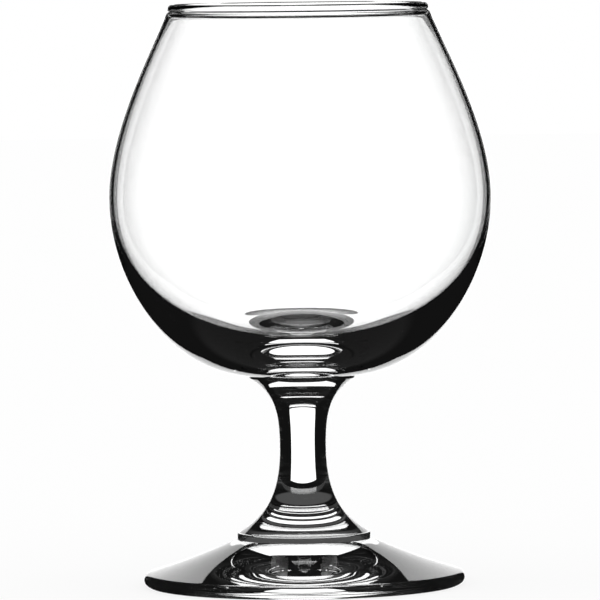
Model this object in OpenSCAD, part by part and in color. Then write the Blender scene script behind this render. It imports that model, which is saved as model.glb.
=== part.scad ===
// Brandy snifter: a blown bowl, a pressed stem and a pressed foot, fused end to end.
// Millimetres, +Z up. The origin is the middle of the foot's bearing plane.

/* [Whole glass] */
// Height of the rim above the table
glass_h = 121.8; // [100:0.1:150]

/* [Bowl] */
// Outer radius of the rim
rim_r = 27.35; // [22:0.05:33]
// Width of the fire-polished bead at the rim
rim_bead_w = 2.3; // [1.8:0.05:3]
// Height of the bead's rounded top
rim_round_h = 1.2; // [0.5:0.05:1.3]
// Height of the bead on the outside, down to where the wall leans away
rim_side_h = 1.6; // [1.4:0.1:2.2]
// Height of the bead on the inside, down to its shelf
rim_bead_h = 2.8; // [2.4:0.1:5]
// Wall just under the bead
rim_wall = 1.05; // [0.8:0.05:1.6]
// Lean of the wall from upright just below the bead, in degrees
shoulder_lean = 26; // [12:1:36]
// Outer radius of the widest ring
belly_r = 40; // [36:0.1:48]
// Height of the widest ring above the table
belly_z = 81.4; // [72:0.1:90]
// Wall at the widest ring
belly_wall = 1; // [0.8:0.05:2]
// Radius at which the rounded underside ends, at the seam bead
underside_r = 11.4; // [11.3:0.05:12.5]
// Rise of the underside from upright to level where it meets the bead, in degrees
underside_lean = 4.6; // [1:0.1:12]
// Height of the seam bead between the underside and the stem
bead_h = 0.55; // [0.3:0.05:1]
// Glass under the lowest ring of the cavity's floor, above the stem
floor_t = 6.9; // [3:0.1:9]
// Radius of the lowest ring of the cavity's floor
floor_ring_r = 13; // [8:0.1:16]
// Rise of the floor's middle over its lowest ring
floor_rise = 2.1; // [0.2:0.1:3.5]

/* [Stem] */
// Radius at the top, where the bowl is fused on
stem_top_r = 11.05; // [9:0.05:11.2]
// Height of the stem's top above the table
stem_top_z = 43.5; // [38:0.1:48]
// Slope of the top flare's edge from level, in degrees
top_flare_lean = 31.7; // [15:0.1:50]
// Radius of the waist
waist_r = 4.87; // [3.5:0.01:7]
// Height of the waist above the table
waist_z = 29.1; // [25:0.1:33]
// Radius at the end of the bottom flare
bottom_flare_r = 13.55; // [12:0.05:13.7]
// Slope of the bottom flare's edge from level, in degrees
bottom_flare_lean = 30; // [15:0.1:50]

/* [Foot] */
// Radius of the collar that the stem stands on
collar_r = 14; // [13.8:0.05:16]
// Height of the collar's top, and so of the stem's bottom, above the table
collar_z = 11.2; // [9:0.1:13]
// Height of the collar's upright side
collar_h = 1.4; // [0.6:0.1:2.5]
// Width of the collar's rounded top edge
collar_round = 0.3; // [0.1:0.05:0.6]
// Radius of the foot
foot_r = 33.7; // [28:0.1:40]
// Radius of the foot's rounded edge
edge_r = 1.45; // [0.8:0.05:2]
// Slope of the foot's top next to the collar, in degrees
foot_inner_lean = 23.5; // [15:0.5:35]
// Slope of the foot's top at the rounded edge, in degrees
foot_outer_lean = 16.5; // [8:0.5:20]
// Width of the ring that the foot rests on
bearing_w = 2.4; // [1.2:0.1:6]
// Width of the soft edge between the ring and the hollow inside it
bearing_round = 0.8; // [0.2:0.1:1]
// Height of the hollow under the foot
hollow_h = 2; // [0.4:0.1:3]
// Radius of the hollow's flat middle
hollow_flat_r = 10.2; // [6:0.1:14]
// Width of the soft edge round the hollow's flat middle
hollow_round = 2.7; // [0.5:0.1:4]

/* [Quality] */
// Points along each curve of an outline
curve_steps = 36; // [16:1:60]
// Facets of a preview turn
$fn = 144; // [48:8:240]

/* [Hidden] */

// How far each handle of a curve reaches, as a share of the curve's own height or width
rim_round_share = 0.57;
shoulder_rim_share = 0.41;
shoulder_belly_share = 0.29;
underside_belly_share = 0.454;
underside_seam_share = 0.605;
cavity_side_share = 0.628;
cavity_floor_share = 0.375;
floor_ring_share = 0.4;
floor_middle_share = 0.482;
top_flare_waist_share = 0.508;
top_flare_edge_share = 0.986;
bottom_flare_waist_share = 0.479;
bottom_flare_edge_share = 0.861;
foot_slope_share = 0.41;
soft_corner_share = 0.67;

rim_inner_r = rim_r - rim_bead_w;
rim_round_z = glass_h - rim_round_h;
shelf_z = glass_h - rim_bead_h;
shoulder_z = glass_h - rim_side_h;
underside_z = stem_top_z + bead_h;
floor_ring_z = stem_top_z + floor_t;
cavity_r = belly_r - belly_wall;
collar_side_z = collar_z - collar_round;
slope_top_z = collar_z - collar_h;
edge_mid_r = foot_r - edge_r;
bearing_in_r = edge_mid_r - bearing_w;

// Points along the round of the rim, the foot's edge and each soft corner
rim_steps = round(curve_steps / 4);
edge_steps = round(curve_steps / 2);
corner_steps = round(curve_steps / 6);

// A point on the curve from a to d with the handles b and c, at t from 0 to 1
function curve_point(a, b, c, d, t) =
    pow(1 - t, 3) * a + 3 * t * pow(1 - t, 2) * b + 3 * pow(t, 2) * (1 - t) * c + pow(t, 3) * d;

// The curve's points after its first one
function curve(a, b, c, d, steps = curve_steps) =
    [for (i = [1 : steps]) curve_point(a, b, c, d, i / steps)];

// Points of a round from angle from_a to angle to_a about the point mid
function round_points(mid, r, from_a, to_a, steps) =
    [for (i = [0 : steps]) let (a = from_a + (to_a - from_a) * i / steps)
        mid + r * [cos(a), sin(a)]];

// A list of points without its first one
function after_first(points) = [for (i = [1 : len(points) - 1]) points[i]];

// A step of the given length along a slope in degrees
function along(length, slope) = length * [cos(slope), sin(slope)];

// The point that lies the given length from the point a, on the way to the point b
function toward(a, b, length) = a + length * (b - a) / norm(b - a);

// Points of a soft corner at the point mid, with ends the given length from it
function soft_corner(before, mid, after, length) =
    let (
        start = toward(mid, before, length),
        end = toward(mid, after, length),
        handle = (1 - soft_corner_share) * length
    )
    concat(
        [start],
        curve(start, toward(mid, before, handle), toward(mid, after, handle), end, corner_steps)
    );

// Outside of the bowl's wall, from under the rim's bead down to the widest ring
function wall_outside() =
    let (
        shoulder = [rim_r, shoulder_z],
        belly = [belly_r, belly_z],
        wall_h = shoulder_z - belly_z
    )
    concat(
        [shoulder],
        curve(
            shoulder,
            shoulder - along(shoulder_rim_share * wall_h, 90 + shoulder_lean),
            belly + [0, shoulder_belly_share * wall_h],
            belly
        )
    );

// Thickness of the wall at a share of the way down, from the rim to the widest ring
function wall_at(share) = belly_wall + (rim_wall - belly_wall) * pow(1 - share, 5);

// Inside of the wall, from above the widest ring up: the outside's points, set in
function wall_inside() =
    let (
        outside = wall_outside(),
        last = len(outside) - 1
    )
    [for (i = [last - 1 : -1 : 0])
        let (
            way = outside[i + 1] - outside[max(i - 1, 0)],
            thick = wall_at(i / last)
        )
        outside[i] + thick * [way.y, -way.x] / norm(way)];

// Outside of the bowl, from under the rim's bead down to the seam
function bowl_outside() =
    let (
        belly = [belly_r, belly_z],
        seam = [underside_r, underside_z]
    )
    concat(
        wall_outside(),
        curve(
            belly,
            belly - [0, underside_belly_share * (belly_z - underside_z)],
            seam + along(underside_seam_share * (belly_r - underside_r), underside_lean),
            seam
        ),
        [[stem_top_r, stem_top_z]]
    );

// Inside of the bowl, from the middle of its floor up to the shelf under the rim's bead
function bowl_inside() =
    let (
        middle = [0, floor_ring_z + floor_rise],
        ring = [floor_ring_r, floor_ring_z],
        belly = [cavity_r, belly_z],
        wall = wall_inside(),
        shelf_r = lookup(shelf_z, [for (point = wall) [point.y, point.x]])
    )
    concat(
        [middle],
        curve(
            middle,
            middle + [floor_middle_share * floor_ring_r, 0],
            ring - [floor_ring_share * floor_ring_r, 0],
            ring
        ),
        curve(
            ring,
            ring + [cavity_floor_share * (cavity_r - floor_ring_r), 0],
            belly - [0, cavity_side_share * (belly_z - floor_ring_z)],
            belly
        ),
        [for (point = wall) if (point.y < shelf_z) point],
        [[shelf_r, shelf_z], [rim_inner_r, shelf_z]]
    );

// Rounded top of the rim's bead, from the inside over to the outside
function bowl_rim() =
    let (
        inner = [rim_inner_r, rim_round_z],
        outer = [rim_r, rim_round_z],
        crest = [(rim_inner_r + rim_r) / 2, glass_h],
        rise = [0, rim_round_share * rim_round_h],
        reach = [rim_round_share * rim_bead_w / 2, 0]
    )
    concat(
        [inner],
        curve(inner, inner + rise, crest - reach, crest, rim_steps),
        curve(crest, crest + reach, outer + rise, outer, rim_steps)
    );

// Outside of the stem, from its top down to its bottom
function stem_outside() =
    let (
        top = [stem_top_r, stem_top_z],
        waist = [waist_r, waist_z],
        bottom = [bottom_flare_r, collar_z]
    )
    concat(
        [top],
        curve(
            top,
            top - along(top_flare_edge_share * (stem_top_r - waist_r), top_flare_lean),
            waist + [0, top_flare_waist_share * (stem_top_z - waist_z)],
            waist
        ),
        curve(
            waist,
            waist - [0, bottom_flare_waist_share * (waist_z - collar_z)],
            bottom - along(bottom_flare_edge_share * (bottom_flare_r - waist_r), -bottom_flare_lean),
            bottom
        )
    );

// Outside of the foot, from the middle of the collar's top round to the bearing ring
function foot_outside() =
    let (
        slope_in = [collar_r, slope_top_z],
        edge_mid = [edge_mid_r, edge_r],
        slope_out = edge_mid + along(edge_r, 90 - foot_outer_lean),
        slope_w = foot_slope_share * (slope_out.x - slope_in.x)
    )
    concat(
        [[0, collar_z]],
        round_points([collar_r - collar_round, collar_side_z], collar_round, 90, 0, corner_steps),
        [slope_in],
        curve(
            slope_in,
            slope_in + along(slope_w, -foot_inner_lean),
            slope_out - along(slope_w, -foot_outer_lean),
            slope_out
        ),
        after_first(round_points(edge_mid, edge_r, 90 - foot_outer_lean, -90, edge_steps))
    );

// Underside of the foot, from the bearing ring up the hollow's cone to its flat middle
function foot_hollow() =
    let (
        ring_edge = [edge_mid_r, 0],
        ring_in = [bearing_in_r, 0],
        flat_edge = [hollow_flat_r, hollow_h],
        middle = [0, hollow_h]
    )
    concat(
        soft_corner(ring_edge, ring_in, flat_edge, bearing_round),
        soft_corner(ring_in, flat_edge, middle, hollow_round),
        [middle]
    );

// Blown bowl: beaded rim, round belly, drawn-in mouth, thick floor with a raised middle
module bowl() {
    color("lightcyan", 0.4)
        rotate_extrude()
            polygon(concat(bowl_inside(), bowl_rim(), bowl_outside(), [[0, stem_top_z]]));
}

// Pressed stem: solid, waisted, flared at both ends
module stem() {
    color("powderblue", 0.6)
        rotate_extrude()
            polygon(concat(stem_outside(), [[0, collar_z], [0, stem_top_z]]));
}

// Pressed foot: collar, sloping top, rounded edge, hollow inside the bearing ring
module foot() {
    color("paleturquoise", 0.5)
        rotate_extrude()
            polygon(concat(foot_outside(), foot_hollow()));
}

bowl();
stem();
foot();
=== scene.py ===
import math

import bpy
from mathutils import Euler, Matrix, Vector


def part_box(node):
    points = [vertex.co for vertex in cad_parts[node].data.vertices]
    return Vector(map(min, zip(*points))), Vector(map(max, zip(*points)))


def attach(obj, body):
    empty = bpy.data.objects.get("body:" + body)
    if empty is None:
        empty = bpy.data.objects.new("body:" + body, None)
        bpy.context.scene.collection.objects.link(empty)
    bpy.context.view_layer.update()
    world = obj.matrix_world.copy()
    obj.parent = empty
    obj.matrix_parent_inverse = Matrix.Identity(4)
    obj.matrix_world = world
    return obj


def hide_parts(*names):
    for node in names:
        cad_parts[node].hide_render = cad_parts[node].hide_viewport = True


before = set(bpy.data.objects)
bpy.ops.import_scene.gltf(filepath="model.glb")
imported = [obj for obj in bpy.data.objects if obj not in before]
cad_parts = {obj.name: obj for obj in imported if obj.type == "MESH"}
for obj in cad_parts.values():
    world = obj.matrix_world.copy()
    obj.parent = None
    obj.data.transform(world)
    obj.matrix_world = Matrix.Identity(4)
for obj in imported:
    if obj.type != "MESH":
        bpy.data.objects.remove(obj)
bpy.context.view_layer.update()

mm = 0.001
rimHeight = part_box("bowl")[1].z
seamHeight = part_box("stem")[1].z      # where the bowl is fused on to the stem
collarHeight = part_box("stem")[0].z    # where the stem is fused on to the foot
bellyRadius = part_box("bowl")[1].x
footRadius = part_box("foot")[1].x
print("frame loaded, glass", round(rimHeight / mm, 1), "mm tall")


# Curves for the outlines, which are lists of (radius, height) points

def bezier(a, b, c, d, steps):
    points = []
    for i in range(1, steps + 1):
        t = i / steps
        u = 1 - t
        weights = (u ** 3, 3 * t * u ** 2, 3 * t ** 2 * u, t ** 3)
        points.append((
            sum(w * p[0] for w, p in zip(weights, (a, b, c, d))),
            sum(w * p[1] for w, p in zip(weights, (a, b, c, d)))))
    return points


def step(point, length, slope):
    return (point[0] + length * math.cos(slope), point[1] + length * math.sin(slope))


def arc(middle, radius, fromAngle, toAngle, steps):
    angles = [fromAngle + (toAngle - fromAngle) * i / steps for i in range(steps + 1)]
    return [step(middle, radius, angle) for angle in angles]


def between(first, last, count):
    # points on the straight way from first to last, without the two ends
    points = []
    for i in range(1, count + 1):
        points.append(tuple(a + (b - a) * i / (count + 1) for a, b in zip(first, last)))
    return points


def corner(before, point, after, size, steps):
    # a small round in place of the point
    ends = []
    for target in (before, after):
        dr, dz = target[0] - point[0], target[1] - point[1]
        share = size / math.hypot(dr, dz)
        ends.append((point[0] + dr * share, point[1] + dz * share))
    rounded = []
    for i in range(steps + 1):
        t = i / steps
        weights = ((1 - t) ** 2, 2 * t * (1 - t), t * t)
        rounded.append(tuple(
            sum(w * p[k] for w, p in zip(weights, (ends[0], point, ends[1]))) for k in (0, 1)))
    return rounded


# Shader groups that both kinds of glass use

noiseBands = {
    "tint": (0.4, 0.65),     # noise values between which the colour drifts from clear to deep
    "haze": (0.52, 0.75),    # and between which clean glass turns into a duller patch
}


def newGroup(name, inputs, outputs):
    group = bpy.data.node_groups.new(name, "ShaderNodeTree")
    for label, kind, value in inputs:
        socket = group.interface.new_socket(label, in_out="INPUT", socket_type=kind)
        socket.default_value = value
    for label, kind in outputs:
        group.interface.new_socket(label, in_out="OUTPUT", socket_type=kind)
    return group, group.nodes.new("NodeGroupInput"), group.nodes.new("NodeGroupOutput")


def addMath(tree, operation, first, second=None, third=None):
    node = tree.nodes.new("ShaderNodeMath")
    node.operation = operation
    for socket, value in zip(node.inputs, (first, second, third)):
        if value is None:
            continue
        if isinstance(value, (int, float)):
            socket.default_value = value
        else:
            tree.links.new(value, socket)
    return node.outputs[0]


def addRamp(tree, value, low, high, outLow=0.0, outHigh=1.0):
    node = tree.nodes.new("ShaderNodeMapRange")
    node.interpolation_type = "SMOOTHSTEP"
    tree.links.new(value, node.inputs["Value"])
    ends = {"From Min": low, "From Max": high, "To Min": outLow, "To Max": outHigh}
    for label, number in ends.items():
        node.inputs[label].default_value = number
    return node.outputs[0]


def addNoise(tree, place, scale, detail, seed):
    node = tree.nodes.new("ShaderNodeTexNoise")
    node.noise_dimensions = "4D"
    node.inputs["Detail"].default_value = detail
    for label, value in (("Vector", place), ("Scale", scale), ("W", seed)):
        tree.links.new(value, node.inputs[label])
    return node.outputs["Fac"]


def makeRippleGroup():
    # slow waves left by the blowing or the mould, with a finer skin over them
    group, start, end = newGroup(
        "glassRipple",
        [("Wave Scale", "NodeSocketFloat", 60.0), ("Skin Scale", "NodeSocketFloat", 400.0),
         ("Skin Share", "NodeSocketFloat", 0.2), ("Seed", "NodeSocketFloat", 0.0)],
        [("Height", "NodeSocketFloat")])
    place = group.nodes.new("ShaderNodeTexCoord").outputs["Object"]
    seed = start.outputs["Seed"]
    wave = addNoise(group, place, start.outputs["Wave Scale"], detail=1.0, seed=seed)
    skin = addNoise(group, place, start.outputs["Skin Scale"], detail=2.0, seed=seed)
    fine = addMath(group, "MULTIPLY", skin, start.outputs["Skin Share"])
    group.links.new(addMath(group, "ADD", wave, fine), end.inputs["Height"])
    return group


def makeTintGroup():
    # the faintest drift of colour that clear soda glass has
    group, start, end = newGroup(
        "glassTint",
        [("Clear", "NodeSocketColor", (1, 1, 1, 1)), ("Deep", "NodeSocketColor", (1, 1, 1, 1)),
         ("Scale", "NodeSocketFloat", 30.0), ("Seed", "NodeSocketFloat", 0.0)],
        [("Color", "NodeSocketColor")])
    place = group.nodes.new("ShaderNodeTexCoord").outputs["Object"]
    seed = start.outputs["Seed"]
    drift = addNoise(group, place, start.outputs["Scale"], detail=1.0, seed=seed)
    mix = group.nodes.new("ShaderNodeMix")
    mix.data_type = "RGBA"
    group.links.new(addRamp(group, drift, *noiseBands["tint"]), mix.inputs["Factor"])
    group.links.new(start.outputs["Clear"], mix.inputs["A"])
    group.links.new(start.outputs["Deep"], mix.inputs["B"])
    group.links.new(mix.outputs["Result"], end.inputs["Color"])
    return group


def makeHazeGroup():
    # breath of polish and wear: near nothing over the wall, a little more in patches,
    # and scuffed where the glass stands
    group, start, end = newGroup(
        "polishHaze",
        [("Clean", "NodeSocketFloat", 0.0), ("Patch", "NodeSocketFloat", 0.01),
         ("Scale", "NodeSocketFloat", 45.0), ("Wear Height", "NodeSocketFloat", 0.0),
         ("Wear", "NodeSocketFloat", 0.0), ("Seed", "NodeSocketFloat", 0.0)],
        [("Roughness", "NodeSocketFloat")])
    place = group.nodes.new("ShaderNodeTexCoord").outputs["Object"]
    seed = start.outputs["Seed"]
    cloud = addNoise(group, place, start.outputs["Scale"], detail=3.0, seed=seed)
    patch = addRamp(group, cloud, *noiseBands["haze"])
    spread = addMath(group, "SUBTRACT", start.outputs["Patch"], start.outputs["Clean"])
    haze = addMath(group, "MULTIPLY_ADD", patch, spread, start.outputs["Clean"])
    split = group.nodes.new("ShaderNodeSeparateXYZ")
    group.links.new(place, split.inputs[0])
    low = addMath(group, "LESS_THAN", split.outputs["Z"], start.outputs["Wear Height"])
    scuff = addMath(group, "MULTIPLY", low, start.outputs["Wear"])
    group.links.new(addMath(group, "ADD", haze, scuff), end.inputs["Roughness"])
    return group


rippleGroup = makeRippleGroup()
tintGroup = makeTintGroup()
hazeGroup = makeHazeGroup()


def addGroup(tree, group, values):
    node = tree.nodes.new("ShaderNodeGroup")
    node.node_tree = group
    for label, value in values.items():
        node.inputs[label].default_value = value
    return node


# The blown bowl is smoother than the pressed stem and foot

blownGlassLook = {
    "ior": 1.52,
    "clear": (1.0, 1.0, 1.0, 1.0),
    "deep": (0.994, 0.999, 0.997, 1.0),
    "tintScale": 28.0,
    "waveScale": 55.0,
    "skinScale": 320.0,
    "skinShare": 0.05,
    "bumpDepth": 0.006 * mm,
    "patch": 0.004,              # roughness of the duller patches
    "patchScale": 60.0,
    "wearHeight": -1.0,          # below this height the glass is scuffed; -1 is never
    "wear": 0.0,                 # roughness that the scuffs add
    "seed": 3.0,
}

pressedGlassLook = dict(
    blownGlassLook,
    deep=(0.990, 0.998, 0.995, 1.0),
    waveScale=90.0,
    skinScale=700.0,
    skinShare=0.12,
    bumpDepth=0.01 * mm,
    patch=0.008,
    wearHeight=0.02 * mm,
    wear=0.12,
    seed=11.0,
)


def makeGlass(name, look):
    material = bpy.data.materials.new(name)
    material.use_nodes = True
    tree = material.node_tree
    shader = tree.nodes["Principled BSDF"]
    shader.inputs["Transmission Weight"].default_value = 1.0
    shader.inputs["Metallic"].default_value = 0.0
    shader.inputs["IOR"].default_value = look["ior"]
    tint = addGroup(tree, tintGroup, {
        "Clear": look["clear"], "Deep": look["deep"], "Scale": look["tintScale"],
        "Seed": look["seed"]})
    haze = addGroup(tree, hazeGroup, {
        "Patch": look["patch"], "Scale": look["patchScale"], "Wear Height": look["wearHeight"],
        "Wear": look["wear"], "Seed": look["seed"]})
    ripple = addGroup(tree, rippleGroup, {
        "Wave Scale": look["waveScale"], "Skin Scale": look["skinScale"],
        "Skin Share": look["skinShare"], "Seed": look["seed"]})
    bump = tree.nodes.new("ShaderNodeBump")
    bump.inputs["Distance"].default_value = look["bumpDepth"]
    tree.links.new(ripple.outputs["Height"], bump.inputs["Height"])
    tree.links.new(tint.outputs["Color"], shader.inputs["Base Color"])
    tree.links.new(haze.outputs["Roughness"], shader.inputs["Roughness"])
    tree.links.new(bump.outputs["Normal"], shader.inputs["Normal"])
    return material


def makeFusedGlass(name):
    # glass melted into glass: light goes straight on, so nothing shows at the seam's face
    material = bpy.data.materials.new(name)
    material.use_nodes = True
    shader = material.node_tree.nodes["Principled BSDF"]
    shader.inputs["Base Color"].default_value = (1, 1, 1, 1)
    shader.inputs["Roughness"].default_value = 0.0
    shader.inputs["IOR"].default_value = 1.0
    shader.inputs["Transmission Weight"].default_value = 1.0
    return material


blownGlass = makeGlass("blownGlass", blownGlassLook)
pressedGlass = makeGlass("pressedGlass", pressedGlassLook)
fusedGlass = makeFusedGlass("fusedGlass")
print("glass materials made")


# One tree turns an outline round the glass's axis, as a lathe or a turning mould does

turningSetup = {
    "weld": 0.0005 * mm,         # points nearer than this become one
    "seamReach": 0.002 * mm,     # how near to a seam's plane a face of fused glass lies
    "swayTop": 0.8,              # the noise stays below this, so the sway goes inward only
    "sharpAngle": math.radians(50),
}
noSeam = -1.0                    # a height that no piece reaches


def makeTurningTree():
    tree = bpy.data.node_groups.new("turnedGlass", "GeometryNodeTree")
    inputs = {
        "Geometry": "NodeSocketGeometry", "Sides": "NodeSocketInt", "Sway": "NodeSocketFloat",
        "Sway Scale": "NodeSocketFloat", "Seed": "NodeSocketInt", "Glass": "NodeSocketMaterial",
        "Fused Glass": "NodeSocketMaterial", "Upper Seam": "NodeSocketFloat",
        "Lower Seam": "NodeSocketFloat", "Seam Radius": "NodeSocketFloat",
    }
    for label, kind in inputs.items():
        tree.interface.new_socket(label, in_out="INPUT", socket_type=kind)
    tree.interface.new_socket("Geometry", in_out="OUTPUT", socket_type="NodeSocketGeometry")
    nodes = tree.nodes
    links = tree.links
    start = nodes.new("NodeGroupInput")

    def whole(operation, first, second):
        node = nodes.new("FunctionNodeIntegerMath")
        node.operation = operation
        for socket, value in zip(node.inputs, (first, second)):
            if isinstance(value, int):
                socket.default_value = value
            else:
                links.new(value, socket)
        return node.outputs[0]

    def read(kind, value, row):
        node = nodes.new("GeometryNodeSampleIndex")
        node.data_type = kind
        links.new(start.outputs["Geometry"], node.inputs["Geometry"])
        links.new(value, node.inputs["Value"])
        links.new(row, node.inputs["Index"])
        return node.outputs["Value"]

    def attribute(name):
        node = nodes.new("GeometryNodeInputNamedAttribute")
        node.data_type = "FLOAT"
        node.inputs["Name"].default_value = name
        return node.outputs["Attribute"]

    # a grid with a column for each side and a row for each point of the outline, rolled round
    count = nodes.new("GeometryNodeAttributeDomainSize")
    links.new(start.outputs["Geometry"], count.inputs["Geometry"])
    rows = count.outputs["Point Count"]
    grid = nodes.new("GeometryNodeMeshGrid")
    links.new(whole("ADD", start.outputs["Sides"], 1), grid.inputs["Vertices X"])
    links.new(rows, grid.inputs["Vertices Y"])
    index = nodes.new("GeometryNodeInputIndex").outputs[0]
    row = whole("MODULO", index, rows)
    column = whole("DIVIDE_FLOOR", index, rows)
    place = read("FLOAT_VECTOR", nodes.new("GeometryNodeInputPosition").outputs[0], row)
    give = read("FLOAT", attribute("free"), row)
    split = nodes.new("ShaderNodeSeparateXYZ")
    links.new(place, split.inputs[0])
    radius, height = split.outputs["X"], split.outputs["Z"]
    share = addMath(tree, "DIVIDE", column, start.outputs["Sides"])
    angle = addMath(tree, "MULTIPLY", share, math.tau)
    join = nodes.new("ShaderNodeCombineXYZ")
    for axis, operation in (("X", "COSINE"), ("Y", "SINE")):
        along = addMath(tree, "MULTIPLY", radius, addMath(tree, operation, angle))
        links.new(along, join.inputs[axis])
    links.new(height, join.inputs["Z"])
    turn = nodes.new("GeometryNodeSetPosition")
    links.new(grid.outputs["Mesh"], turn.inputs["Geometry"])
    links.new(join.outputs[0], turn.inputs["Position"])
    keep = nodes.new("GeometryNodeStoreNamedAttribute")
    keep.data_type = "FLOAT"
    keep.inputs["Name"].default_value = "give"
    links.new(turn.outputs[0], keep.inputs["Geometry"])
    links.new(give, keep.inputs["Value"])
    weld = nodes.new("GeometryNodeMergeByDistance")
    weld.inputs["Distance"].default_value = turningSetup["weld"]
    links.new(keep.outputs[0], weld.inputs["Geometry"])
    flip = nodes.new("GeometryNodeFlipFaces")
    links.new(weld.outputs[0], flip.inputs["Mesh"])

    # hand-made glass is never quite round: a slow sway along the normal, none at the seams,
    # and inward, so that the glass stays within its CAD box
    noise = nodes.new("ShaderNodeTexNoise")
    noise.noise_dimensions = "4D"
    noise.inputs["Detail"].default_value = 0.0
    links.new(start.outputs["Sway Scale"], noise.inputs["Scale"])
    links.new(start.outputs["Seed"], noise.inputs["W"])
    below = addMath(tree, "SUBTRACT", noise.outputs["Fac"], turningSetup["swayTop"])
    swing = addMath(tree, "MULTIPLY", below, start.outputs["Sway"])
    push = nodes.new("ShaderNodeVectorMath")
    push.operation = "SCALE"
    links.new(nodes.new("GeometryNodeInputNormal").outputs[0], push.inputs[0])
    links.new(addMath(tree, "MULTIPLY", swing, attribute("give")), push.inputs["Scale"])
    sway = nodes.new("GeometryNodeSetPosition")
    links.new(flip.outputs[0], sway.inputs["Geometry"])
    links.new(push.outputs[0], sway.inputs["Offset"])
    smooth = nodes.new("GeometryNodeSetShadeSmooth")
    links.new(sway.outputs[0], smooth.inputs["Geometry"])

    # faces that lie in a seam's plane, inside its radius, are glass melted into glass
    middle = nodes.new("ShaderNodeSeparateXYZ")
    links.new(nodes.new("GeometryNodeInputPosition").outputs[0], middle.inputs[0])

    def near(height):
        away = addMath(tree, "ABSOLUTE", addMath(tree, "SUBTRACT", middle.outputs["Z"], height))
        return addMath(tree, "LESS_THAN", away, turningSetup["seamReach"])

    squares = [addMath(tree, "MULTIPLY", middle.outputs[k], middle.outputs[k]) for k in "XY"]
    reach = addMath(tree, "SQRT", addMath(tree, "ADD", *squares))
    inside = addMath(tree, "LESS_THAN", reach, start.outputs["Seam Radius"])
    inSeam = addMath(
        tree, "MAXIMUM", near(start.outputs["Upper Seam"]), near(start.outputs["Lower Seam"]))
    realize = nodes.new("GeometryNodeRealizeInstances")
    links.new(smooth.outputs[0], realize.inputs[0])
    outer = nodes.new("GeometryNodeSetMaterial")
    links.new(realize.outputs[0], outer.inputs["Geometry"])
    links.new(start.outputs["Glass"], outer.inputs["Material"])
    fused = nodes.new("GeometryNodeSetMaterial")
    links.new(outer.outputs[0], fused.inputs["Geometry"])
    links.new(addMath(tree, "MULTIPLY", inside, inSeam), fused.inputs["Selection"])
    links.new(start.outputs["Fused Glass"], fused.inputs["Material"])
    end = nodes.new("NodeGroupOutput")
    links.new(fused.outputs[0], end.inputs["Geometry"])
    return tree


turningTree = makeTurningTree()


def easeOff(points, heights, reach):
    # adds the third value: 0 at each of the heights, rising to 1 at reach away from them
    eased = []
    for r, z in points:
        away = min(abs(z - height) for height in heights)
        t = min(1.0, away / reach)
        eased.append((r, z, t * t * (3 - 2 * t)))
    return eased


def turnPiece(name, outline, shape, glass, seams, node):
    # outline: (radius, height, free) points; free is 0 where the piece may not sway
    points = [(r, 0, z) for r, z, free in outline]
    edges = [(i, i + 1) for i in range(len(outline) - 1)]
    mesh = bpy.data.meshes.new(name)
    mesh.from_pydata(points, edges, [])
    freeValues = mesh.attributes.new("free", "FLOAT", "POINT")
    freeValues.data.foreach_set("value", [free for r, z, free in outline])
    piece = bpy.data.objects.new(name, mesh)
    bpy.context.scene.collection.objects.link(piece)
    modifier = piece.modifiers.new("turning", "NODES")
    modifier.node_group = turningTree
    values = {
        "Sides": shape["sides"], "Sway": shape["sway"], "Sway Scale": shape["swayScale"],
        "Seed": shape["seed"], "Glass": glass, "Fused Glass": fusedGlass,
        "Upper Seam": seams[0], "Lower Seam": seams[1], "Seam Radius": shape["fusedRadius"],
    }
    for item in turningTree.interface.items_tree:
        if item.in_out == "INPUT" and item.name in values:
            modifier[item.identifier] = values[item.name]
    depsgraph = bpy.context.evaluated_depsgraph_get()
    solid = bpy.data.meshes.new_from_object(piece.evaluated_get(depsgraph))
    piece.modifiers.remove(modifier)
    piece.data = solid
    solid.name = name
    solid.set_sharp_from_angle(angle=turningSetup["sharpAngle"])
    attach(piece, "root")
    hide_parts(node)
    print(name, "turned:", len(solid.polygons), "faces")


# Blown bowl: a bead at the rim, a thin wall, and a thick floor with a raised middle

bowlShape = {
    "rimRadius": 27.35 * mm,
    "rimInnerRadius": 25.05 * mm,
    "rimRound": 1.2 * mm,        # height of the bead's rounded top
    "rimFullness": 0.57,         # 0.55 gives a quarter circle, more is squarer
    "rimOutside": 1.6 * mm,      # from the top down to the groove outside
    "rimInside": 2.8 * mm,       # from the top down to the shelf inside
    "rimSteps": 20,
    "grooveDepth": 0.2 * mm,
    "grooveHalf": 0.4 * mm,      # half the groove's height
    "grooveShares": (0.55, 0.45),
    "grooveSteps": 8,
    "shelfDrop": 0.08 * mm,      # how far the shelf under the bead slopes
    "shelfRounds": (0.25 * mm, 0.12 * mm),
    "shelfSteps": 6,
    "wallUnderRim": 1.05 * mm,
    "wall": 1.0 * mm,
    "wallFall": 5,               # how soon the wall thins below the rim
    "wallSteps": 110,
    "shoulderLean": math.radians(26),
    "shoulderShares": (0.41, 0.29),
    "bellyHeight": 81.4 * mm,
    "undersideRadius": 11.4 * mm,
    "undersideLean": math.radians(4.6),
    "undersideShares": (0.454, 0.605),
    "seamBead": 0.55 * mm,
    "seamRadius": 11.05 * mm,
    "fusedRadius": 12 * mm,
    "ringRadius": 13.0 * mm,     # lowest ring of the floor, round its raised middle
    "ringHeight": 50.4 * mm,
    "middleRise": 2.1 * mm,
    "floorShares": (0.628, 0.375, 0.4, 0.482),
    "floorSteps": (90, 40),      # out from the ring to the wall, and in to the middle
    "sides": 256,
    "sway": 0.03 * mm,
    "swayScale": 18.0,
    "swayFrom": 8 * mm,          # how far from the seam the sway is full
    "seed": 4,
}


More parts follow.
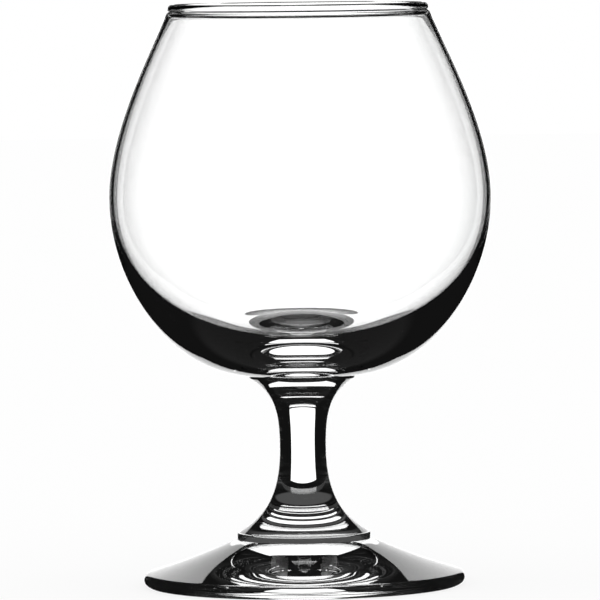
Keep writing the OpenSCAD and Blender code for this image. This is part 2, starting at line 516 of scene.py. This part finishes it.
def rimRounds(crest, shape):
    # the bead's two rounded shoulders, outside and inside
    full = shape["rimFullness"]
    rounds = []
    for radius in (shape["rimRadius"], shape["rimInnerRadius"]):
        edge = (radius, rimHeight - shape["rimRound"])
        rounds.append(bezier(
            crest, (crest[0] + full * (edge[0] - crest[0]), rimHeight),
            (edge[0], edge[1] + full * shape["rimRound"]), edge, shape["rimSteps"]))
    return rounds


def grooveUnderRim(bead, wall, shape):
    # a small groove outside, between the rim's bead and the wall; returns it with the wall below it
    half = shape["grooveHalf"]
    endShare, middleShare = shape["grooveShares"]
    top = (bead[0], wall[0][1] + half)
    below = [p for p in wall if math.dist(p, wall[0]) > half]
    foot = below[0]
    surface = (wall[0][0] + (top[0] + foot[0]) / 2) / 2
    deepest = (surface - shape["grooveDepth"], wall[0][1])
    slope = math.atan2(foot[1] - top[1], foot[0] - top[0])
    down = math.atan2(below[1][1] - foot[1], below[1][0] - foot[0])
    upper = bezier(
        top, step(top, endShare * half, -math.pi / 2),
        step(deepest, -middleShare * half, slope), deepest, shape["grooveSteps"])
    lower = bezier(
        deepest, step(deepest, middleShare * half, slope),
        step(foot, -endShare * half, down), foot, shape["grooveSteps"])
    return [top] + upper + lower + below[1:]


def liningOf(wall, shape):
    # the wall's inside: a line set in from the outside, thicker under the rim
    lining = []
    last = len(wall) - 1
    extra = shape["wallUnderRim"] - shape["wall"]
    for i, (r, z) in enumerate(wall):
        a, b = wall[max(i - 1, 0)], wall[min(i + 1, last)]
        dr, dz = b[0] - a[0], b[1] - a[1]
        length = math.hypot(dr, dz)
        thick = shape["wall"] + extra * (1 - i / last) ** shape["wallFall"]
        lining.append((r + thick * dz / length, z - thick * dr / length))
    return [point for point in lining if point[1] < rimHeight - shape["rimInside"]]


def bowlFloor(widest, shape):
    # the cavity below its widest place: down to the lowest ring, and up to the raised middle
    ring = (shape["ringRadius"], shape["ringHeight"])
    middle = (0.0, ring[1] + shape["middleRise"])
    side, floor, ringShare, middleShare = shape["floorShares"]
    outSteps, inSteps = shape["floorSteps"]
    outward = bezier(
        widest, (widest[0], widest[1] - side * (widest[1] - ring[1])),
        (ring[0] + floor * (widest[0] - ring[0]), ring[1]), ring, outSteps)
    inward = bezier(
        ring, (ring[0] - ringShare * ring[0], ring[1]),
        (middleShare * ring[0], middle[1]), middle, inSteps)
    return outward + inward


def bowlOutline(shape):
    crest = ((shape["rimRadius"] + shape["rimInnerRadius"]) / 2, rimHeight)
    outerRound, innerRound = rimRounds(crest, shape)
    shoulder = (shape["rimRadius"], rimHeight - shape["rimOutside"])
    belly = (bellyRadius, shape["bellyHeight"])
    rise = shoulder[1] - belly[1]
    upper, lower = shape["shoulderShares"]
    wall = [shoulder] + bezier(
        shoulder, step(shoulder, -upper * rise, math.pi / 2 + shape["shoulderLean"]),
        (belly[0], belly[1] + lower * rise), belly, shape["wallSteps"])
    underside = (shape["undersideRadius"], seamHeight + shape["seamBead"])
    drop = belly[1] - underside[1]
    side, seam = shape["undersideShares"]
    outside = [crest] + outerRound + grooveUnderRim(outerRound[-1], wall, shape)
    outside += bezier(
        belly, (belly[0], belly[1] - side * drop),
        step(underside, seam * (belly[0] - underside[0]), shape["undersideLean"]),
        underside, shape["wallSteps"])
    outside += [(shape["seamRadius"], seamHeight), (0.0, seamHeight)]

    lining = liningOf(wall, shape)
    bead = innerRound[-1]
    shelf = (bead[0], lining[0][1] + shape["shelfDrop"])
    beadRound, wallRound = shape["shelfRounds"]
    widest = (belly[0] - shape["wall"], belly[1])
    inside = innerRound + corner(bead, shelf, lining[0], beadRound, shape["shelfSteps"])
    inside += corner(shelf, lining[0], lining[2], wallRound, shape["shelfSteps"])
    inside += lining[1:-1] + [widest] + bowlFloor(widest, shape)
    return inside[::-1] + outside


turnPiece(
    "bowlGlass", easeOff(bowlOutline(bowlShape), [seamHeight], bowlShape["swayFrom"]),
    bowlShape, blownGlass, (seamHeight, noSeam), "bowl")


# Pressed stem: solid, waisted, flared at both ends

stemShape = {
    "topRadius": 11.05 * mm,
    "topLean": math.radians(31.7),
    "topShares": (0.986, 0.508),
    "topSteps": 100,
    "waistRadius": 4.87 * mm,
    "waistHeight": 29.1 * mm,
    "bottomRadius": 13.55 * mm,
    "bottomLean": math.radians(30),
    "bottomShares": (0.479, 0.861),
    "bottomSteps": 120,
    "fusedRadius": 14 * mm,
    "sides": 192,
    "sway": 0.04 * mm,
    "swayScale": 60.0,
    "swayFrom": 5 * mm,
    "seed": 9,
}


def stemOutline(shape):
    top = (shape["topRadius"], seamHeight)
    waist = (shape["waistRadius"], shape["waistHeight"])
    bottom = (shape["bottomRadius"], collarHeight)
    edge, middle = shape["topShares"]
    outline = [(0.0, seamHeight), top]
    outline += bezier(
        top, step(top, -edge * (top[0] - waist[0]), shape["topLean"]),
        (waist[0], waist[1] + middle * (top[1] - waist[1])), waist, shape["topSteps"])
    middle, edge = shape["bottomShares"]
    outline += bezier(
        waist, (waist[0], waist[1] - middle * (waist[1] - bottom[1])),
        step(bottom, -edge * (bottom[0] - waist[0]), -shape["bottomLean"]),
        bottom, shape["bottomSteps"])
    return outline + [(0.0, collarHeight)]


turnPiece(
    "stemGlass",
    easeOff(stemOutline(stemShape), [seamHeight, collarHeight], stemShape["swayFrom"]),
    stemShape, pressedGlass, (seamHeight, collarHeight), "stem")


# Pressed foot: collar, sloping top, rounded edge, and a hollow inside the ring it rests on

footShape = {
    "collarRadius": 14.0 * mm,
    "collarSide": 1.4 * mm,
    "collarRound": 0.3 * mm,
    "collarSteps": 8,
    "fusedRadius": stemShape["bottomRadius"],
    "edgeRound": 1.45 * mm,
    "edgeSteps": 36,
    "innerLean": math.radians(23.5),
    "outerLean": math.radians(16.5),
    "slopeShare": 0.41,
    "slopeSteps": 100,
    "bearingWidth": 2.4 * mm,
    "bearingRound": 0.8 * mm,
    "bearingSteps": 8,
    "hollow": 2.0 * mm,
    "hollowFlat": 10.2 * mm,     # radius of the hollow's flat middle
    "hollowRound": 2.7 * mm,
    "hollowSteps": (24, 16, 12),   # along its cone, round its corner and over its flat
    "sides": 256,
    "sway": 0.05 * mm,
    "swayScale": 35.0,
    "swayFrom": 1 * mm,
    "seed": 17,
}


def footOutline(shape):
    rounding = shape["collarRound"]
    collarMiddle = (shape["collarRadius"] - rounding, collarHeight - rounding)
    slopeIn = (shape["collarRadius"], collarHeight - shape["collarSide"])
    edgeMiddle = (footRadius - shape["edgeRound"], shape["edgeRound"])
    edgeStart = math.pi / 2 - shape["outerLean"]
    slopeOut = step(edgeMiddle, shape["edgeRound"], edgeStart)
    reach = shape["slopeShare"] * (slopeOut[0] - slopeIn[0])
    outline = [(0.0, collarHeight), (stemShape["bottomRadius"], collarHeight)]
    outline += arc(collarMiddle, rounding, math.pi / 2, 0, shape["collarSteps"])
    outline += [slopeIn] + bezier(
        slopeIn, step(slopeIn, reach, -shape["innerLean"]),
        step(slopeOut, -reach, -shape["outerLean"]), slopeOut, shape["slopeSteps"])
    edge = arc(edgeMiddle, shape["edgeRound"], edgeStart, -math.pi / 2, shape["edgeSteps"])
    ring = edge[-1]
    bearing = (ring[0] - shape["bearingWidth"], 0.0)
    flat = (shape["hollowFlat"], shape["hollow"])
    middle = (0.0, shape["hollow"])
    coneSteps, cornerSteps, flatSteps = shape["hollowSteps"]
    inner = corner(ring, bearing, flat, shape["bearingRound"], shape["bearingSteps"])
    ceiling = corner(bearing, flat, middle, shape["hollowRound"], cornerSteps)
    outline += edge[1:] + inner + between(inner[-1], ceiling[0], coneSteps)
    return outline + ceiling + between(ceiling[-1], middle, flatSteps) + [middle]


turnPiece(
    "footGlass", easeOff(footOutline(footShape), [0.0, collarHeight], footShape["swayFrom"]),
    footShape, pressedGlass, (collarHeight, noSeam), "foot")


# Camera: a long lens a good way off, looking slightly down, as in the photograph

cameraSetup = {
    "place": (-0.26 * mm, -1422.6 * mm, 138.5 * mm),
    "downTilt": 0.0553,          # radians, as roll is
    "roll": -0.0116,
    "lens": 408.7,
    "sensorWidth": 36,
    "clipStart": 0.05,
}

scene = bpy.context.scene
cameraData = bpy.data.cameras.new("camera")
cameraData.lens = cameraSetup["lens"]
cameraData.sensor_width = cameraSetup["sensorWidth"]
cameraData.clip_start = cameraSetup["clipStart"]
camera = bpy.data.objects.new("camera", cameraData)
scene.collection.objects.link(camera)
camera.location = cameraSetup["place"]
tilted = Euler((math.pi / 2 - cameraSetup["downTilt"], 0, 0)).to_matrix()
camera.rotation_euler = (tilted @ Matrix.Rotation(cameraSetup["roll"], 3, "Z")).to_euler()
scene.camera = camera
print("camera set")


# Light: bright field, as clear glass is photographed. A lit card stands behind the glass,
# square to the lens, and everything round it is dark, so that the contours turn black.

lightSetup = {
    "height": 59.7 * mm,         # the point of the glass's axis that the card is square to
    "distance": 201 * mm,        # from that point back to the card
    "cardHalf": 76 * mm,         # half the card's width
    "cardBottom": -110 * mm,     # its lower and upper edges, from the same point
    "cardTop": 83 * mm,
    "cardSoft": 1.3 * mm,        # how far the light fades to each side of an edge
    "cardGlow": 1.42,
    "dark": 0.006,
    "tableGlow": 0.08,           # what rays that leave the glass steeply downward meet
    "tableFrom": math.radians(40),
    "tableTo": math.radians(48),
    "bounces": 32,
    "glossyBounces": 24,
}


def makeCard():
    half, soft = lightSetup["cardHalf"], lightSetup["cardSoft"]
    bottom, top = lightSetup["cardBottom"], lightSetup["cardTop"]
    right, low, high = half + soft, bottom - soft, top + soft
    corners = [(-right, low), (right, low), (right, high), (-right, high)]
    mesh = bpy.data.meshes.new("backCard")
    mesh.from_pydata([(x, y, -lightSetup["distance"]) for x, y in corners], [], [(0, 1, 2, 3)])
    card = bpy.data.objects.new("backCard", mesh)
    scene.collection.objects.link(card)
    card.location = (0, 0, lightSetup["height"])
    follow = card.constraints.new("COPY_ROTATION")
    follow.target = camera
    card.visible_camera = False
    card.visible_diffuse = False
    card.visible_shadow = False
    material = bpy.data.materials.new("backCard")
    material.use_nodes = True
    material.cycles.emission_sampling = "NONE"
    tree = material.node_tree
    tree.nodes.clear()
    split = tree.nodes.new("ShaderNodeSeparateXYZ")
    tree.links.new(tree.nodes.new("ShaderNodeTexCoord").outputs["Object"], split.inputs[0])
    glow = lightSetup["cardGlow"]
    for axis, first, last in (("X", -half, half), ("Y", bottom, top)):
        rise = addRamp(tree, split.outputs[axis], first - soft, first + soft)
        fall = addRamp(tree, split.outputs[axis], last - soft, last + soft, 1.0, 0.0)
        glow = addMath(tree, "MULTIPLY", addMath(tree, "MULTIPLY", rise, fall), glow)
    emission = tree.nodes.new("ShaderNodeEmission")
    tree.links.new(glow, emission.inputs["Strength"])
    output = tree.nodes.new("ShaderNodeOutputMaterial")
    tree.links.new(emission.outputs[0], output.inputs["Surface"])
    mesh.materials.append(material)


makeCard()


# Floor and background: white to the camera, dark to the glass, and the glass's shadow stays

def makeRoom():
    world = scene.world or bpy.data.worlds.new("studio")
    scene.world = world
    world.use_nodes = True
    tree = world.node_tree
    tree.nodes.clear()
    darkRoom = tree.nodes.new("ShaderNodeBackground")
    darkRoom.inputs["Color"].default_value = (1, 1, 1, 1)
    wayOut = tree.nodes.new("ShaderNodeSeparateXYZ")
    tree.links.new(tree.nodes.new("ShaderNodeTexCoord").outputs["Generated"], wayOut.inputs[0])
    tableGlow = addRamp(
        tree, wayOut.outputs["Z"],
        -math.sin(lightSetup["tableTo"]), -math.sin(lightSetup["tableFrom"]),
        lightSetup["tableGlow"], lightSetup["dark"])
    tree.links.new(tableGlow, darkRoom.inputs["Strength"])
    whiteRoom = tree.nodes.new("ShaderNodeBackground")
    whiteRoom.inputs["Color"].default_value = (1, 1, 1, 1)
    whiteRoom.inputs["Strength"].default_value = 1.0
    rays = tree.nodes.new("ShaderNodeLightPath").outputs
    mix = tree.nodes.new("ShaderNodeMixShader")
    seesWhite = addMath(tree, "MAXIMUM", rays["Is Camera Ray"], rays["Is Diffuse Ray"])
    tree.links.new(seesWhite, mix.inputs[0])
    tree.links.new(darkRoom.outputs[0], mix.inputs[1])
    tree.links.new(whiteRoom.outputs[0], mix.inputs[2])
    output = tree.nodes.new("ShaderNodeOutputWorld")
    tree.links.new(mix.outputs[0], output.inputs["Surface"])


makeRoom()

floorSetup = {
    "half": 3.0,                 # half the floor's width
    "height": -0.05 * mm,        # just clear of the foot
    "white": (0.98, 0.98, 0.98, 1),
    "glow": 0.83,                # share of the floor's white that takes no shadow
}


def makeFloor():
    half, height = floorSetup["half"], floorSetup["height"]
    corners = [(-half, -half), (half, -half), (half, half), (-half, half)]
    mesh = bpy.data.meshes.new("floor")
    mesh.from_pydata([(x, y, height) for x, y in corners], [], [(0, 1, 2, 3)])
    floor = bpy.data.objects.new("floor", mesh)
    scene.collection.objects.link(floor)
    floor.visible_transmission = False
    floor.visible_glossy = False
    material = bpy.data.materials.new("floorPaper")
    material.use_nodes = True
    tree = material.node_tree
    tree.nodes.clear()
    glow = tree.nodes.new("ShaderNodeEmission")
    glow.inputs["Strength"].default_value = 1.0
    paper = tree.nodes.new("ShaderNodeBsdfDiffuse")
    paper.inputs["Color"].default_value = floorSetup["white"]
    mix = tree.nodes.new("ShaderNodeMixShader")
    mix.inputs[0].default_value = 1 - floorSetup["glow"]
    tree.links.new(glow.outputs[0], mix.inputs[1])
    tree.links.new(paper.outputs[0], mix.inputs[2])
    output = tree.nodes.new("ShaderNodeOutputMaterial")
    tree.links.new(mix.outputs[0], output.inputs["Surface"])
    mesh.materials.append(material)


makeFloor()

cycles = scene.cycles
cycles.max_bounces = lightSetup["bounces"]
cycles.transmission_bounces = lightSetup["bounces"]
cycles.glossy_bounces = lightSetup["glossyBounces"]
cycles.caustics_reflective = False
cycles.caustics_refractive = False
scene.view_settings.view_transform = "Standard"
print("light, floor and background set")
